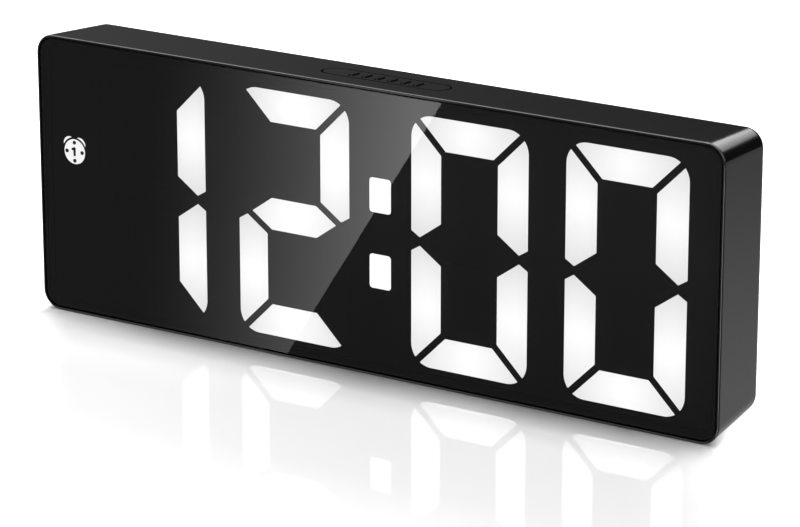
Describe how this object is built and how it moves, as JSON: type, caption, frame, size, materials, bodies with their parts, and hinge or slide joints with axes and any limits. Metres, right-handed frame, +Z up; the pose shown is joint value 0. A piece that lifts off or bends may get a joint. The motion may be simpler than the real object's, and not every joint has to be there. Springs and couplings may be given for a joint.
{
  "type": "digital led desk clock",
  "caption": "Slim black desk clock with a tinted window over lit white digits, a snooze key in the top, setting buttons and a battery bay at the back.",
  "frame": {"origin": "on the table, under the middle of the case", "axes": "+X to the viewer's right along the case, +Y from the window to the back, +Z up"},
  "size_m": [0.165, 0.0206, 0.0612],
  "materials": {
    "case_plastic": "smooth black, glossy",
    "window_plastic": "dark tinted, see-through, polished",
    "tape": "black adhesive foam",
    "display_black": "flat black",
    "lit_lens": "milky white, lit from behind",
    "dark_lens": "smoke black, unlit",
    "print_black": "printed black",
    "led": "pale yellow resin",
    "circuit_board": "green solder mask",
    "screw_steel": "zinc plated",
    "chip_black": "moulded black",
    "gold_pins": "gold plated",
    "tin_can": "bright tin",
    "capacitor_can": "sleeved can",
    "buzzer_black": "moulded black",
    "inlet_steel": "nickel plated",
    "switch_black": "moulded black",
    "plunger_white": "natural white",
    "lead_cover": "soft black insulation",
    "cover_plastic": "fine grained black",
    "button_plastic": "smooth satin black",
    "tray_plastic": "moulded black",
    "cell": "plain sleeved can with a bare nub",
    "contact_nickel": "nickel plated",
    "foot_rubber": "soft black"
  },
  "bodies": {
    "case": {"alarm_icon_lens": "lit_lens", "alarm_icon_marks": "print_black", "battery_1": "cell", "battery_2": "cell", "battery_3": "cell", "battery_leads": "lead_cover", "battery_tray": "tray_plastic", "buzzer": "buzzer_black", "capacitor": "capacitor_can", "case_shell": "case_plastic", "clock_chip": "chip_black", "colon_lens": "lit_lens", "cover_screws": "screw_steel", "crystal": "tin_can", "digit_1_lit": "lit_lens", "digit_1_unlit": "dark_lens", "digit_2_lit": "lit_lens", "digit_2_unlit": "dark_lens", "digit_3_lit": "lit_lens", "digit_3_unlit": "dark_lens", "digit_4_lit": "lit_lens", "digit_4_unlit": "dark_lens", "display_board": "circuit_board", "display_screws": "screw_steel", "driver_chip": "chip_black", "front_panel": "window_plastic", "header_pins": "gold_pins", "header_strip": "chip_black", "inner_screws": "screw_steel", "led_chips": "led", "left_link_contact": "contact_nickel", "main_board": "circuit_board", "negative_contact": "contact_nickel", "panel_tape": "tape", "positive_contact": "contact_nickel", "rear_cover": "cover_plastic", "rear_feet": "foot_rubber", "rear_switches": "switch_black", "reflector": "display_black", "right_link_contact": "contact_nickel", "snooze_board": "circuit_board", "snooze_board_screws": "screw_steel", "snooze_leads": "lead_cover", "snooze_switch": "switch_black", "usb_inlet": "inlet_steel"},
    "snooze_button": {"snooze_button": "case_plastic", "snooze_plunger": "plunger_white"},
    "battery_door": {"battery_door": "cover_plastic", "battery_door_latch": "cover_plastic"},
    "set_button": {"set_button": "button_plastic", "set_plunger": "plunger_white"},
    "mode_button": {"mode_button": "button_plastic", "mode_plunger": "plunger_white"},
    "up_button": {"up_button": "button_plastic", "up_plunger": "plunger_white"},
    "down_button": {"down_button": "button_plastic", "down_plunger": "plunger_white"}
  },
  "joints": [
    {"name": "snooze_press", "type": "slide", "parent": "case", "child": "snooze_button", "axis": [0, 0, -1], "range_m": [0, 0.0005], "stiffness_N_per_m": 300, "springref_m": -0.001},
    {"name": "set_press", "type": "slide", "parent": "case", "child": "set_button", "axis": [0, -1, 0], "range_m": [0, 0.0005], "stiffness_N_per_m": 300, "springref_m": -0.001},
    {"name": "mode_press", "type": "slide", "parent": "case", "child": "mode_button", "axis": [0, -1, 0], "range_m": [0, 0.0005], "stiffness_N_per_m": 300, "springref_m": -0.001},
    {"name": "up_press", "type": "slide", "parent": "case", "child": "up_button", "axis": [0, -1, 0], "range_m": [0, 0.0005], "stiffness_N_per_m": 300, "springref_m": -0.001},
    {"name": "down_press", "type": "slide", "parent": "case", "child": "down_button", "axis": [0, -1, 0], "range_m": [0, 0.0005], "stiffness_N_per_m": 300, "springref_m": -0.001},
    {"name": "door_tip", "type": "hinge", "parent": "case", "child": "battery_door", "pos_m": [0.03565, 0.00975, 0.01153], "axis": [-1, 0, 0], "range_deg": [0, 80], "deforming": ["battery_door_latch"]}
  ]
}
